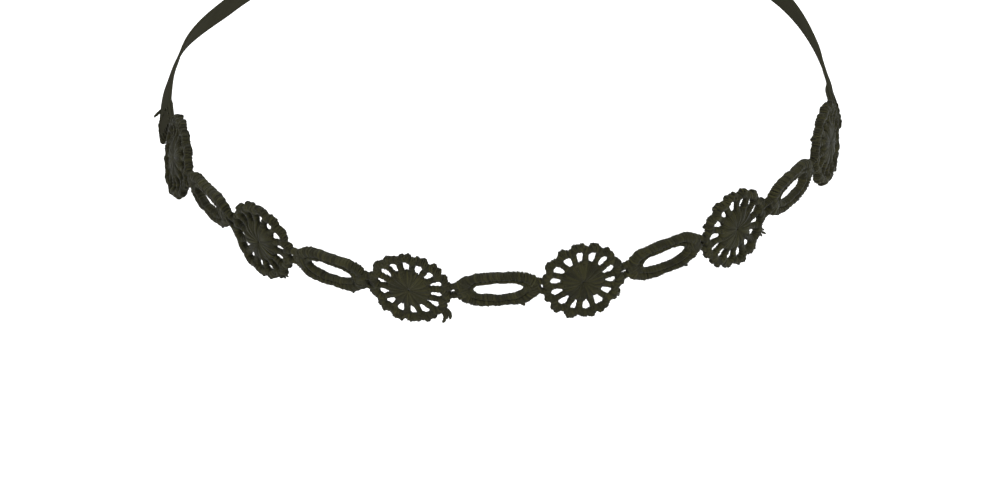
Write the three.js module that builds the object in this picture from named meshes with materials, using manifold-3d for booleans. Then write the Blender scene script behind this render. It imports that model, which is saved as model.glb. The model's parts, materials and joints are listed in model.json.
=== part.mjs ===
// A choker necklace of embroidered lace, closed round the neck as it is worn. Millimetres, +Z up.
//
// The necklace is a level ring round the neck's axis, with its front towards -Y. Six lace rosettes
// alternate with five oval lace links, a ribbon at each end goes round to the back, and a clasp closes it.
//
// Each piece is drawn flat, with u along the band, v up its height and w out of its face, and is then
// bent round the neck. Places along the band are arc lengths from the middle of the front.

import * as THREE from 'three';
import { mergeVertices } from 'three/addons/utils/BufferGeometryUtils.js';
import Module from 'manifold-3d';

const wasm = await Module();
wasm.setup();

// The band.
const NECK_LINE_RADIUS = 54; // from the neck's axis to the middle of the lace's thickness
const MOTIFS_IN_A_TURN = 24; // rosettes and links together, if they went all the way round
const MOTIF_STEP = (2 * Math.PI * NECK_LINE_RADIUS) / MOTIFS_IN_A_TURN;
const LACE_THICKNESS = 1.5;
const EDGE_ROUNDING = 0.25; // taken off every edge of the lace's cords
const PIECE_GAP = 0.3;

// Facets of each round stretch.
const SCALLOP_FACETS = 4;
const WINDOW_FAR_FACETS = 3;
const WINDOW_NEAR_FACETS = 2;
const HUB_SIDES = 28;
const SHOULDER_FACETS = 4;
const SLOT_SIDES = 20;
const RIBBON_CORNER_FACETS = 2;
const CLASP_CORNER_FACETS = 3;
const RIBBON_STEP_DEGREES = 4;

// A rosette: a padded hub, spokes, and a rim of scallops round one window each.
const ROSETTE_RADIUS = 6.5; // to the tops of the scallops
const SCALLOPS = 14;
const SCALLOP_RADIUS = 1.9;
const CORD_WIDTH = 0.8; // of the rim and of each spoke
const WINDOW_START = 3.7; // from the rosette's centre to the near end of a window
const HUB_RADIUS = 3.3;
const HUB_RISE = 0.35; // of the padded hub above the lace's face

// An oval link: two straight rails that draw together into a blunt solid tip at each end.
const LINK_HALF_LENGTH = 6.6;
const LINK_HALF_HEIGHT = 2.95;
const RAIL_HALF_LENGTH = 2.9; // of the rails' straight stretch
const TIP_HALF_HEIGHT = 1.1;
const TIP_SHOULDER = 1.5; // how far short of the tip the shoulder's curve turns in
const SLOT_HALF_LENGTH = 4.2;
const SLOT_HALF_HEIGHT = 1.3;
const SLOT_SQUARENESS = 2.5; // power of the slot's oval: 2 is an ellipse, and more is squarer
const THREAD_WIDTH = 0.6; // of each of the two joining threads on a tip

// The ribbons and the clasp.
const RIBBON_HEIGHT = 4.6;
const RIBBON_THICKNESS = 1.0;
const RIBBON_CORNER = 0.3;
const CLASP_LENGTH = 10;
const CLASP_HEIGHT = 6.4;
const CLASP_THICKNESS = 2.6;
const CLASP_ROUNDING = 0.4;
const CLASP_CORNER = 1.2;
const POCKET_DEPTH = 2.2; // how far each ribbon goes into the clasp

// Each motif lies a little differently on the neck. step counts motifs from the middle of the front,
// slide moves one along the band, drop moves it down and out moves it away from the neck, in millimetres.
// lean tips its top towards the neck and turn spins it in its own face, in degrees.
const ROSETTES = [
  { step: -5, slide: 0.2, drop: -0.1, out: 0.5, lean: 11, turn: -10 },
  { step: -3, slide: 0.1, drop: 0.3, out: 0.0, lean: -2, turn: 8 },
  { step: -1, slide: 0.1, drop: 0.6, out: 0.1, lean: -5, turn: -9 },
  { step: 1, slide: -0.2, drop: 0.0, out: 0.1, lean: 2, turn: -9 },
  { step: 3, slide: -0.4, drop: 0.0, out: 0.2, lean: 1, turn: -8 },
  { step: 5, slide: -0.2, drop: 0.3, out: 0.75, lean: 3, turn: 7 },
];
const LINKS = [
  { step: -4, slide: 0.1, drop: -0.3, out: 0.2, lean: -6, turn: 1 },
  { step: -2, slide: 0.4, drop: 0.3, out: 0.0, lean: -8, turn: -2 },
  { step: 0, slide: 0.35, drop: 0.0, out: 0.1, lean: -5, turn: 2 },
  { step: 2, slide: -0.3, drop: -0.6, out: 0.1, lean: -3, turn: 2 },
  { step: 4, slide: 0.1, drop: 0.2, out: 0.3, lean: -3, turn: -3 },
];

// How each ribbon runs, from its sewn end beside the last rosette's rim to the clasp. at is the angle
// from the front in degrees, and the other columns are as above.
const LEFT_RIBBON = [
  { at: 82.4, drop: -0.2, out: 0.9, lean: 27 },
  { at: 91, drop: -0.15, out: 1.1, lean: 24 },
  { at: 100, drop: 0.0, out: 1.4, lean: 23 },
  { at: 110, drop: -0.2, out: 1.9, lean: 23 },
  { at: 125, drop: 0.0, out: 0.9, lean: 13 },
  { at: 168, drop: 0.0, out: 0.0, lean: 0 },
  { at: 180, drop: 0.0, out: 0.0, lean: 0 },
];
const RIGHT_RIBBON = [
  { at: 82.4, drop: 0.05, out: 0.65, lean: 17 },
  { at: 88, drop: 0.05, out: -0.15, lean: 18 },
  { at: 95, drop: 0.3, out: -0.8, lean: 16 },
  { at: 103, drop: 0.3, out: -0.95, lean: 9 },
  { at: 125, drop: 0.0, out: -0.35, lean: 5 },
  { at: 168, drop: 0.0, out: 0.0, lean: 0 },
  { at: 180, drop: 0.0, out: 0.0, lean: 0 },
];

const FINISHES = {
  lace: { color: 0x313124, roughness: 0.85, metalness: 0 },
  ribbon: { color: 0x35352e, roughness: 0.6, metalness: 0 },
  clasp: { color: 0x1c1c1b, roughness: 0.35, metalness: 0.6 },
};

function namedMesh(name, geometry, finish) {
  const mesh = new THREE.Mesh(geometry, new THREE.MeshStandardMaterial(FINISHES[finish]));
  mesh.name = name;
  return mesh;
}

// A closed geometry as a solid for booleans, and back.
function toSolid(geometry) {
  geometry.deleteAttribute('normal');
  geometry.deleteAttribute('uv');
  const merged = mergeVertices(geometry, 1e-4);
  const mesh = new wasm.Mesh({
    numProp: 3,
    vertProperties: new Float32Array(merged.getAttribute('position').array),
    triVerts: new Uint32Array(merged.getIndex().array),
  });
  return new wasm.Manifold(mesh);
}

function toGeometry(solid) {
  const mesh = solid.getMesh();
  const geometry = new THREE.BufferGeometry();
  geometry.setAttribute('position', new THREE.BufferAttribute(mesh.vertProperties, 3));
  geometry.setIndex(new THREE.BufferAttribute(mesh.triVerts, 1));
  return geometry;
}

// Points along an arc about a centre, in radians, anticlockwise.
function arcPoints(centreX, centreY, radius, from, to, segments) {
  return new THREE.EllipseCurve(centreX, centreY, radius, radius, from, to).getPoints(segments);
}

// Extrudes a flat outline to a thickness about w = 0, with its edges rounded inside the outline.
function flatPiece(shape, thickness, rounding) {
  const geometry = new THREE.ExtrudeGeometry(shape, {
    depth: thickness - 2 * rounding,
    bevelThickness: rounding,
    bevelSize: rounding,
    bevelOffset: -rounding,
    bevelSegments: 1,
    curveSegments: SHOULDER_FACETS,
  });
  return geometry.translate(0, 0, rounding - thickness / 2);
}

// Bends a flat piece round the neck. outAt gives how far outside the neck line it lies at each u.
function bendRound(geometry, outAt) {
  const position = geometry.getAttribute('position');
  for (let i = 0; i < position.count; i += 1) {
    const u = position.getX(i);
    const radius = NECK_LINE_RADIUS + outAt(u) + position.getZ(i);
    const angle = u / NECK_LINE_RADIUS;
    position.setXYZ(i, radius * Math.sin(angle), -radius * Math.cos(angle), position.getY(i));
  }
  geometry.deleteAttribute('normal');
  geometry.computeVertexNormals();
  return geometry;
}

// Leans, turns and places a motif by its row of the table, and bends it round the neck.
function placeMotif(geometry, { step, slide, drop, out, lean, turn }) {
  geometry.rotateZ(THREE.MathUtils.degToRad(turn));
  geometry.rotateX(THREE.MathUtils.degToRad(-lean));
  geometry.translate(step * MOTIF_STEP + slide, -drop, 0);
  return bendRound(geometry, () => out);
}

// A window's sides follow its two spokes, and each end is an arc that touches both sides.
function rosetteWindow(angle) {
  const spread = Math.PI / SCALLOPS; // half the window and half a spoke take up this much of the radius
  const farCentre = (ROSETTE_RADIUS - CORD_WIDTH / 2) / (1 + spread);
  const nearCentre = (WINDOW_START - CORD_WIDTH / 2) / (1 - spread);
  const arcAt = (centre, turn, segments) => arcPoints(centre * Math.cos(angle), centre * Math.sin(angle),
    spread * centre - CORD_WIDTH / 2, angle + turn - Math.PI / 2, angle + turn + Math.PI / 2, segments);
  return new THREE.Path([
    ...arcAt(farCentre, 0, WINDOW_FAR_FACETS),
    ...arcAt(nearCentre, Math.PI, WINDOW_NEAR_FACETS),
  ]);
}

function rosetteOutline() {
  const scallopCentre = ROSETTE_RADIUS - SCALLOP_RADIUS;
  const halfPitch = Math.PI / SCALLOPS;
  const valley = Math.acos((scallopCentre * Math.sin(halfPitch)) / SCALLOP_RADIUS);
  const halfSweep = Math.PI / 2 + halfPitch - valley;
  const points = [];
  const holes = [];
  for (let i = 0; i < SCALLOPS; i += 1) {
    const angle = i * 2 * halfPitch;
    const scallop = arcPoints(scallopCentre * Math.cos(angle), scallopCentre * Math.sin(angle),
      SCALLOP_RADIUS, angle - halfSweep, angle + halfSweep, SCALLOP_FACETS);
    points.push(...scallop.slice(1)); // it begins where the last scallop ends
    holes.push(rosetteWindow(angle));
  }
  const outline = new THREE.Shape(points);
  outline.holes = holes;
  return outline;
}

// The hub is turned about w, domed above the lace's face and buried in its thickness.
function hubDome() {
  const face = LACE_THICKNESS / 2;
  const profile = [
    new THREE.Vector2(0, 0),
    new THREE.Vector2(HUB_RADIUS, 0),
    new THREE.Vector2(HUB_RADIUS, face + HUB_RISE * 0.3),
    new THREE.Vector2(HUB_RADIUS * 0.8, face + HUB_RISE * 0.8),
    new THREE.Vector2(HUB_RADIUS * 0.4, face + HUB_RISE),
    new THREE.Vector2(0, face + HUB_RISE),
  ];
  return new THREE.LatheGeometry(profile, HUB_SIDES).rotateX(Math.PI / 2);
}

function makeRosette(row, name) {
  const lace = toSolid(flatPiece(rosetteOutline(), LACE_THICKNESS, EDGE_ROUNDING));
  const whole = toGeometry(lace.add(toSolid(hubDome())));
  return namedMesh(name, placeMotif(whole, row), 'lace');
}

// How far a link's joining threads reach past its tip, to stop just short of the rosette beside it.
function threadReach(link, side) {
  const rosette = ROSETTES.find(({ step }) => step === link.step + side);
  const between = MOTIF_STEP + side * (rosette.slide - link.slide);
  return between - ROSETTE_RADIUS - LINK_HALF_LENGTH - PIECE_GAP;
}

// One end of a link's outline, from one rail round the tip and its threads to the other rail. side is
// 1 for the right end, drawn upwards, and -1 for the left end, drawn downwards.
function linkEnd(outline, side, reach) {
  const tip = side * LINK_HALF_LENGTH;
  const threadEnd = side * (LINK_HALF_LENGTH + reach);
  const shoulder = side * (LINK_HALF_LENGTH - TIP_SHOULDER);
  const rail = side * LINK_HALF_HEIGHT;
  const outer = side * TIP_HALF_HEIGHT;
  const inner = side * (TIP_HALF_HEIGHT - THREAD_WIDTH);
  outline.lineTo(side * RAIL_HALF_LENGTH, -rail);
  outline.quadraticCurveTo(shoulder, -rail, tip, -outer);
  outline.lineTo(threadEnd, -outer);
  outline.lineTo(threadEnd, -inner);
  outline.lineTo(tip, -inner);
  outline.lineTo(tip, inner);
  outline.lineTo(threadEnd, inner);
  outline.lineTo(threadEnd, outer);
  outline.lineTo(tip, outer);
  outline.quadraticCurveTo(shoulder, rail, side * RAIL_HALF_LENGTH, rail);
}

function slotOutline() {
  const points = [];
  const squared = (value) => Math.sign(value) * Math.abs(value) ** (2 / SLOT_SQUARENESS);
  for (let i = 0; i < SLOT_SIDES; i += 1) {
    const angle = (i * 2 * Math.PI) / SLOT_SIDES;
    const u = SLOT_HALF_LENGTH * squared(Math.cos(angle));
    points.push(new THREE.Vector2(u, SLOT_HALF_HEIGHT * squared(Math.sin(angle))));
  }
  return new THREE.Path(points);
}

function makeLink(row, name) {
  const outline = new THREE.Shape();
  outline.moveTo(-RAIL_HALF_LENGTH, -LINK_HALF_HEIGHT);
  linkEnd(outline, 1, threadReach(row, 1));
  linkEnd(outline, -1, threadReach(row, -1));
  outline.holes.push(slotOutline());
  return namedMesh(name, placeMotif(flatPiece(outline, LACE_THICKNESS, EDGE_ROUNDING), row), 'lace');
}

function roundedRectangle(width, height, corner, segments) {
  const [x, y] = [width / 2 - corner, height / 2 - corner];
  const corners = [[x, -y], [x, y], [-x, y], [-x, -y]];
  return new THREE.Shape(corners.flatMap(([cornerX, cornerY], i) => arcPoints(cornerX, cornerY, corner,
    ((i - 1) * Math.PI) / 2, (i * Math.PI) / 2, segments)));
}

// A smooth value of one column of a ribbon's table at an angle.
function columnAt(rows, column, degrees) {
  const next = Math.max(1, rows.findIndex(({ at }) => at >= degrees));
  const [before, after] = [rows[next - 1], rows[next]];
  const share = THREE.MathUtils.smoothstep(degrees, before.at, after.at);
  return THREE.MathUtils.lerp(before[column], after[column], share);
}

// side is -1 for the left ribbon and 1 for the right. It is drawn as a straight bar along u, and each
// of its sections is leaned and lowered by the table before the bar is bent round.
function makeRibbon(rows, side, name) {
  const clearOfMiddle = CLASP_LENGTH / 2 - POCKET_DEPTH + PIECE_GAP;
  const start = THREE.MathUtils.degToRad(rows[0].at) * NECK_LINE_RADIUS;
  const end = Math.PI * NECK_LINE_RADIUS - clearOfMiddle;
  const stepLength = THREE.MathUtils.degToRad(RIBBON_STEP_DEGREES) * NECK_LINE_RADIUS;
  const section = roundedRectangle(RIBBON_THICKNESS, RIBBON_HEIGHT, RIBBON_CORNER, RIBBON_CORNER_FACETS);
  const bar = new THREE.ExtrudeGeometry(section, {
    depth: end - start,
    steps: Math.ceil((end - start) / stepLength),
    bevelEnabled: false,
  });
  bar.rotateY(Math.PI / 2);
  bar.translate(side > 0 ? start : -end, 0, 0);
  const degreesAt = (u) => THREE.MathUtils.radToDeg(Math.abs(u) / NECK_LINE_RADIUS);
  const position = bar.getAttribute('position');
  for (let i = 0; i < position.count; i += 1) {
    const [u, v, w] = [position.getX(i), position.getY(i), position.getZ(i)];
    const lean = THREE.MathUtils.degToRad(columnAt(rows, 'lean', degreesAt(u)));
    const height = v * Math.cos(lean) + w * Math.sin(lean) - columnAt(rows, 'drop', degreesAt(u));
    position.setXYZ(i, u, height, w * Math.cos(lean) - v * Math.sin(lean));
  }
  return namedMesh(name, bendRound(bar, (u) => columnAt(rows, 'out', degreesAt(u))), 'ribbon');
}

// A plain bar with a pocket in each end for a ribbon, at the back of the neck.
function makeClasp() {
  const outline = roundedRectangle(CLASP_LENGTH, CLASP_HEIGHT, CLASP_CORNER, CLASP_CORNER_FACETS);
  let body = toSolid(flatPiece(outline, CLASP_THICKNESS, CLASP_ROUNDING));
  const past = 1; // the cutter runs this far out of the clasp's end
  for (const side of [-1, 1]) {
    const pocket = new THREE.BoxGeometry(POCKET_DEPTH + past, RIBBON_HEIGHT + 2 * PIECE_GAP,
      RIBBON_THICKNESS + 2 * PIECE_GAP);
    pocket.translate(side * ((CLASP_LENGTH - POCKET_DEPTH + past) / 2), 0, 0);
    body = body.subtract(toSolid(pocket));
  }
  const flat = toGeometry(body).translate(Math.PI * NECK_LINE_RADIUS, 0, 0);
  return namedMesh('clasp', bendRound(flat, () => 0), 'clasp');
}

const necklace = new THREE.Group();
ROSETTES.forEach((row, i) => necklace.add(makeRosette(row, `rosette_${i + 1}`)));
LINKS.forEach((row, i) => necklace.add(makeLink(row, `oval_link_${i + 1}`)));
necklace.add(makeRibbon(LEFT_RIBBON, -1, 'ribbon_left'));
necklace.add(makeRibbon(RIGHT_RIBBON, 1, 'ribbon_right'));
necklace.add(makeClasp());

export default necklace;
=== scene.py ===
"""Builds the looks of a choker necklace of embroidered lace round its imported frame.

It is laid out as an add-on and is run as a script. Lengths are in metres, +Z is up along the neck and
-Y is the front. Each piece is drawn flat, with u along the band, v up its height and w out of its face,
and is then placed by its row and bent round the neck, as the frame's own pieces are."""

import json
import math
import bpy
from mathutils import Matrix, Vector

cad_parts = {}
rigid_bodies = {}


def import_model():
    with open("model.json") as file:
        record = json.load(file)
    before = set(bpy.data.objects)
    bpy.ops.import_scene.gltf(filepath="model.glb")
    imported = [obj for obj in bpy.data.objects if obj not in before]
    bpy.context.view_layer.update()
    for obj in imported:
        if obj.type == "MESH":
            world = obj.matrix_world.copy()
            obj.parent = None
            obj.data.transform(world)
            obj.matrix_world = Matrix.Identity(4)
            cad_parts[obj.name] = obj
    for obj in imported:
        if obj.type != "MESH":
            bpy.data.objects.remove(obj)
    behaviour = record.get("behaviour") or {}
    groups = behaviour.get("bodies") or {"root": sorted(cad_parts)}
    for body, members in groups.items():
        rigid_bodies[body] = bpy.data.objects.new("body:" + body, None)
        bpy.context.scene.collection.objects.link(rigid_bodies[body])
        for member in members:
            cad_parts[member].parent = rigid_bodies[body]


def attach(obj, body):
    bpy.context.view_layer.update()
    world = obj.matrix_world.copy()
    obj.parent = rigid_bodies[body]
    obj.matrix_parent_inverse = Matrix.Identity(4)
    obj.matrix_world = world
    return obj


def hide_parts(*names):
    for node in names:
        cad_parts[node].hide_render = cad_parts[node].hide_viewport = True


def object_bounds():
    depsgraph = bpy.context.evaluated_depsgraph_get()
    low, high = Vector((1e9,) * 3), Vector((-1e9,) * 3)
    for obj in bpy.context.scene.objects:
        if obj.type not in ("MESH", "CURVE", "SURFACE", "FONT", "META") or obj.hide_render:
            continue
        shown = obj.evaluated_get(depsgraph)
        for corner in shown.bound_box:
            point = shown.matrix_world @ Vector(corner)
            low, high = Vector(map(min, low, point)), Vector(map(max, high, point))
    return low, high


bl_info = {
    "name": "Lace Choker",
    "version": (1, 0, 0),
    "blender": (4, 5, 0),
    "location": "3D View > Sidebar > Choker",
    "description": "Embroidered lace choker: rosettes, oval links, ribbons and a clasp",
    "category": "Object",
}

from collections import namedtuple

import bpy
import numpy as np
from bpy.props import FloatProperty, FloatVectorProperty, IntProperty, PointerProperty
from mathutils import Matrix, Vector

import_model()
CAD_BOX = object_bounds()

MM = 0.001
TURN = 2 * math.pi

# The band and its motifs, as in the frame.
NECK_LINE_RADIUS = 54 * MM
MOTIFS_IN_A_TURN = 24
MOTIF_STEP = TURN * NECK_LINE_RADIUS / MOTIFS_IN_A_TURN
ROSETTE_RADIUS = 6.5 * MM
SCALLOPS = 14
SCALLOP_RADIUS = 1.9 * MM
LINK_HALF_LENGTH = 6.6 * MM
LINK_HALF_HEIGHT = 2.95 * MM
RAIL_HALF_LENGTH = 2.9 * MM
TIP_HALF_HEIGHT = 1.1 * MM
TIP_SHOULDER = 1.5 * MM
SLOT_HALF_LENGTH = 4.2 * MM
SLOT_HALF_HEIGHT = 1.3 * MM
SLOT_SQUARENESS = 2.5
JOINING_THREAD_HEIGHT = 0.92 * MM
CLASP_LENGTH = 10 * MM
CLASP_HALF_HEIGHT = 3.2 * MM
CLASP_HALF_THICKNESS = 1.3 * MM
POCKET_DEPTH = 2.2 * MM
POCKET_HALF_HEIGHT = 2.6 * MM
POCKET_HALF_THICKNESS = 0.8 * MM
PIECE_GAP = 0.3 * MM

# How each motif lies: slide, drop and out in millimetres, lean and turn in degrees.
Motif = namedtuple("Motif", "step slide drop out lean turn")
ROSETTES = [
    Motif(-5, 0.2, -0.1, 0.5, 11, -10),
    Motif(-3, 0.1, 0.3, 0.0, -2, 8),
    Motif(-1, 0.1, 0.6, 0.1, -5, -9),
    Motif(1, -0.2, 0.0, 0.1, 2, -9),
    Motif(3, -0.4, 0.0, 0.2, 1, -8),
    Motif(5, -0.2, 0.3, 0.75, 3, 7),
]
LINKS = [
    Motif(-4, 0.1, -0.3, 0.2, -6, 1),
    Motif(-2, 0.4, 0.3, 0.0, -8, -2),
    Motif(0, 0.35, 0.0, 0.1, -5, 2),
    Motif(2, -0.3, -0.6, 0.1, -3, 2),
    Motif(4, 0.1, 0.2, 0.3, -3, -3),
]

# How each ribbon runs: at in degrees from the front, drop and out in millimetres, lean in degrees.
Station = namedtuple("Station", "at drop out lean")
LEVEL_BACK = [Station(168, 0.0, 0.0, 0), Station(180, 0.0, 0.0, 0)]
LEFT_RIBBON = [
    Station(82.4, -0.2, 0.9, 27),
    Station(91, -0.15, 1.1, 24),
    Station(100, 0.0, 1.4, 23),
    Station(110, -0.2, 1.9, 23),
    Station(125, 0.0, 0.9, 13),
] + LEVEL_BACK
RIGHT_RIBBON = [
    Station(82.4, 0.05, 0.65, 17),
    Station(88, 0.05, -0.15, 18),
    Station(95, 0.3, -0.8, 16),
    Station(103, 0.3, -0.95, 9),
    Station(125, 0.0, -0.35, 5),
] + LEVEL_BACK

# Loose thread ends on the rosettes' rims: rosette, angle in its face in degrees, length and width in
# millimetres, and curl in degrees.
Tail = namedtuple("Tail", "rosette angle length width curl")
TAILS = [
    Tail(2, -52, 0.8, 0.7, 10),
    Tail(3, -27, 2.1, 1.1, -75),
    Tail(4, -25, 0.7, 0.5, 10),
    Tail(5, -24, 1.5, 0.7, -20),
]

# A wisp of thread that hangs from the left ribbon's lower edge: how far along, up and out of the ribbon,
# from its sewn end.
WISP = np.array([(9.2, -2.0, 0.0), (8.95, -2.3, 0.3), (8.6, -2.65, 0.6), (8.2, -3.05, 0.9)]) * MM

# A spoke, from the hub's face to the rim: radius, width, thickness and height.
SPOKE = np.array([
    (2.5, 0.45, 0.60, 0.38),
    (3.0, 0.80, 0.80, 0.36),
    (3.5, 1.22, 1.00, 0.14),
    (4.0, 1.14, 1.10, 0.03),
    (4.5, 1.06, 1.10, 0.00),
    (5.0, 1.18, 1.10, 0.00),
    (5.3, 1.36, 1.20, 0.00),
    (5.6, 1.50, 1.30, 0.00),
]) * MM

# How much shorter the slot is inside its inner cord's rounded ends.
TIP_CLOSING = 0.94

# The maps that each piece's corners have: along and round its threads or cloth, and one laid out in cells or
# rows.
THREAD_MAP, CLOTH_MAP, BAKE_MAP = "thread_uv", "cloth_uv", "OFBake"
THREAD_SLOT, RIBBON_SLOT, CLASP_SLOT = "lace_thread", "ribbon_cloth", "clasp_metal"


def length(name, description, default):
    """A length property, its default in millimetres."""
    return FloatProperty(name=name, description=description, default=default * MM, subtype="DISTANCE",
                         unit="LENGTH", precision=5, min=0.0)


def angle_property(name, description, default):
    return FloatProperty(name=name, description=description, default=default, subtype="ANGLE",
                         unit="ROTATION")


def colour(name, description, default):
    return FloatVectorProperty(name=name, description=description, default=default, size=3,
                               subtype="COLOR", min=0.0, max=1.0)


class LaceSizes(bpy.types.PropertyGroup):
    """Sizes of the embroidered lace."""

    thread: length("Thread", "Diameter of the embroidery thread", 0.32)
    pitch: length("Stitch pitch", "From one satin stitch to the next along a cord", 0.29)
    cord_width: length("Cord width", "Width of a satin-stitched cord in the lace's face", 0.9)
    cord_thickness: length("Cord thickness", "Thickness of a link's cords through the lace", 1.75)
    rim_thickness: length("Rim thickness", "Thickness of a rosette's rim through the lace", 1.5)
    rim_width: length("Rim width", "Width of the cord round a rosette's scallops", 1.42)
    rail_width: length("Rail width", "Width of the cord round a link's slot", 0.9)
    bar_width: length("Joining bar width", "Width of the bars that join links to rosettes", 1.2)
    picot: length("Picot", "How far the picots stand out from the rim", 0.3)
    hub_edge: length("Hub radius", "Radius of the padded hub with its stitches", 3.5)
    hub_front: length("Hub front", "Height of the hub's front over the middle of the lace", 0.85)
    hub_back: length("Hub back", "Height of the hub's back over the middle of the lace", 0.62)
    ply: length("Ply", "Radius of one ply of the twisted joining threads", 0.14)
    slant: angle_property("Slant", "How far satin stitches lean along their cord", 0.34)
    hub_stitches: IntProperty(
        name="Hub stitches", description="Radial stitches on each face of a hub", default=62,
        min=12, max=200)
    fuzz: IntProperty(
        name="Fuzz", description="Loose fibres to a square centimetre of thread", default=40,
        min=0, max=400)
    fibre: length("Fibre", "Length of a loose fibre", 0.5)
    unevenness: FloatProperty(
        name="Unevenness", description="How far stitches stray from their places", default=1.0,
        min=0.0, max=3.0, subtype="FACTOR")


class RibbonSizes(bpy.types.PropertyGroup):
    """Sizes of the ribbons."""

    height: length("Height", "Height of the ribbon", 4.6)
    thickness: length("Thickness", "Thickness of one layer of the ribbon", 0.42)
    rib_pitch: length("Rib pitch", "From one woven rib to the next", 0.44)
    rib_depth: length("Rib depth", "Depth of the grooves between ribs", 0.025)
    lap: length("Lap", "How far the sewn end reaches over the rosette's rim", 0.1)
    hem: length("Hem", "How much of the sewn end is folded back on itself", 5.6)
    sewing_stitch: length("Sewing stitch", "Length of one sewing stitch", 0.95)


class Finishes(bpy.types.PropertyGroup):
    """Colours of the three finishes."""

    # The dark thread colour is the dark end of the stitches' random tones, and also painted shade on the
    # padding in the hollows under the stitches.
    thread_dark_and_hollow_shade: colour("Thread, dark", "Embroidery thread in its hollows", (0.0034, 0.0032, 0.0006))
    thread_light: colour("Thread, light", "Embroidery thread where it is lightest", (0.0200, 0.0190, 0.0052))
    ribbon: colour("Ribbon", "Woven ribbon", (0.0182, 0.0178, 0.0112))
    clasp: colour("Clasp", "Lacquer of the clasp", (0.012, 0.012, 0.011))


class StageSizes(bpy.types.PropertyGroup):
    """The camera and the floor."""

    elevation: angle_property("Elevation", "Camera above the horizon", math.radians(33.72))
    azimuth: angle_property("Azimuth", "Camera round to the right of the front", math.radians(2.71))
    roll: angle_property("Roll", "How far the picture is turned anticlockwise", math.radians(2.95))
    distance: length("Distance", "From the camera to the middle of the ring", 2000.0)
    lens: FloatProperty(
        name="Lens", description="Focal length in millimetres", default=441.1, min=1.0)
    aim_drop: length("Aim drop", "How far under the ring's middle the camera aims, in the picture", 24.0)
    aim_left: length("Aim left", "How far left of the ring's middle the camera aims", 0.41)
    floor_drop: length("Floor drop", "From the lowest lace to the floor", 300.0)


# ---------------------------------------------------------------- shapes


def turned(a, b, angle):
    """A pair of coordinates, turned by an angle."""
    return a * math.cos(angle) - b * math.sin(angle), a * math.sin(angle) + b * math.cos(angle)


def place(points, motif):
    """Turns, leans and places a flat motif in the band's own u, v and w."""
    u, v, w = np.asarray(points, float).T
    u, v = turned(u, v, math.radians(motif.turn))
    v, w = turned(v, w, math.radians(-motif.lean))
    return np.stack([
        u + motif.step * MOTIF_STEP + motif.slide * MM, v - motif.drop * MM, w + motif.out * MM], 1)


def unplace(points, motif):
    """Undoes place."""
    u, v, w = np.asarray(points, float).T
    v, w = turned(v + motif.drop * MM, w - motif.out * MM, math.radians(motif.lean))
    u, v = turned(u - motif.step * MOTIF_STEP - motif.slide * MM, v, math.radians(-motif.turn))
    return np.stack([u, v, w], 1)


def bend(points):
    """Bends points of the band round the neck."""
    u, v, w = np.asarray(points, float).T
    radius, angle = NECK_LINE_RADIUS + w, u / NECK_LINE_RADIUS
    return np.stack([radius * np.sin(angle), -radius * np.cos(angle), v], 1)


def unit(rows):
    return rows / np.linalg.norm(rows, axis=1)[:, None]


def distance_along(points):
    """How far along a run each of its points is."""
    return np.concatenate([[0], np.cumsum(np.hypot(*np.diff(points, axis=0).T))])


def read(data, field, width=1, kind=np.float32):
    """One field of every item, a row for each."""
    found = np.zeros(len(data) * width, kind)
    data.foreach_get(field, found)
    return found.reshape(-1, width)


def write(data, field, values):
    data.foreach_set(field, np.asarray(values, np.float32).ravel())


def write_map(mesh, name, places):
    write(mesh.uv_layers.new(name=name, do_init=False).uv, "vector", places)


def mesh_from(name, vertices, faces, edges=()):
    mesh = bpy.data.meshes.new(name)
    mesh.from_pydata([tuple(v) for v in vertices], list(edges), [tuple(f) for f in faces])
    mesh.update()
    return mesh


def link_object(name, data):
    made = bpy.data.objects.new(name, data)
    bpy.context.scene.collection.objects.link(made)
    return made


def swept(along, about, closed=False, order=1):
    """Faces that join rings of points, with a cap at each end where the run is open, and the place of
    each of their corners in a map. along has a value for each end of each span, and about for each side
    of a ring and for its close."""
    spans, around = len(along) - 1, len(about) - 1
    count = spans if closed else spans + 1
    corners = [[(i, j), (i + 1, j), (i + 1, j + 1), (i, j + 1)] for i in range(spans) for j in range(around)]
    if not closed:
        corners += [[(0, j) for j in range(around)], [(spans, j) for j in range(around)][::-1]]
    corners = [face[::order] for face in corners]
    faces = [[i % count * around + j % around for i, j in face] for face in corners]
    return faces, np.array([(along[i], about[j]) for face in corners for i, j in face])


def mark_padding(mesh, padded):
    write(mesh.attributes.new("padded", "FLOAT", "POINT").data, "value", padded)


def thread_mesh(name, points, faces, places, pad=(), pad_faces=()):
    """A thread and any padding under it, which the attribute padded tells apart. Padding has no place of
    its own in the thread's map. A fibre has no such attribute, so it takes that of what it grows on."""
    first = len(points)
    mesh = mesh_from(name, [*points, *pad], [*faces, *([first + i for i in face] for face in pad_faces)])
    write_map(mesh, THREAD_MAP, np.vstack([places, np.zeros((sum(map(len, pad_faces)), 2))]))
    if pad:
        mark_padding(mesh, [0] * first + [1] * len(pad))
    return mesh


def tube(centres, outwards, radii, across, closed=False, sides=5):
    """A thread along centres: its points, its faces and their places, along it and round it. outwards
    and across are unit vectors that span each of its sections. A cap has one place."""
    angles = TURN * (np.arange(sides) + 0.5) / sides
    rings = centres[:, None] + radii.reshape(-1, 1, 1) * (
        np.cos(angles)[:, None] * outwards[:, None] + np.sin(angles)[:, None] * across[:, None])
    spans = len(centres) if closed else len(centres) - 1
    faces, places = swept(np.linspace(0, 1, spans + 1), np.linspace(0, 1, sides + 1), closed)
    places[4 * spans * sides:, 1] = 0.5
    return rings.reshape(-1, 3), faces, places


def upright_thread(name, centres, radii, sides=5):
    """A thread along centres that stays in the plane across Y."""
    across = np.tile((0.0, 1.0, 0.0), (len(centres), 1))
    outwards = np.cross(unit(np.gradient(centres, axis=0)), across)
    return thread_mesh(name, *tube(centres, outwards, radii, across, sides=sides))


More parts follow.
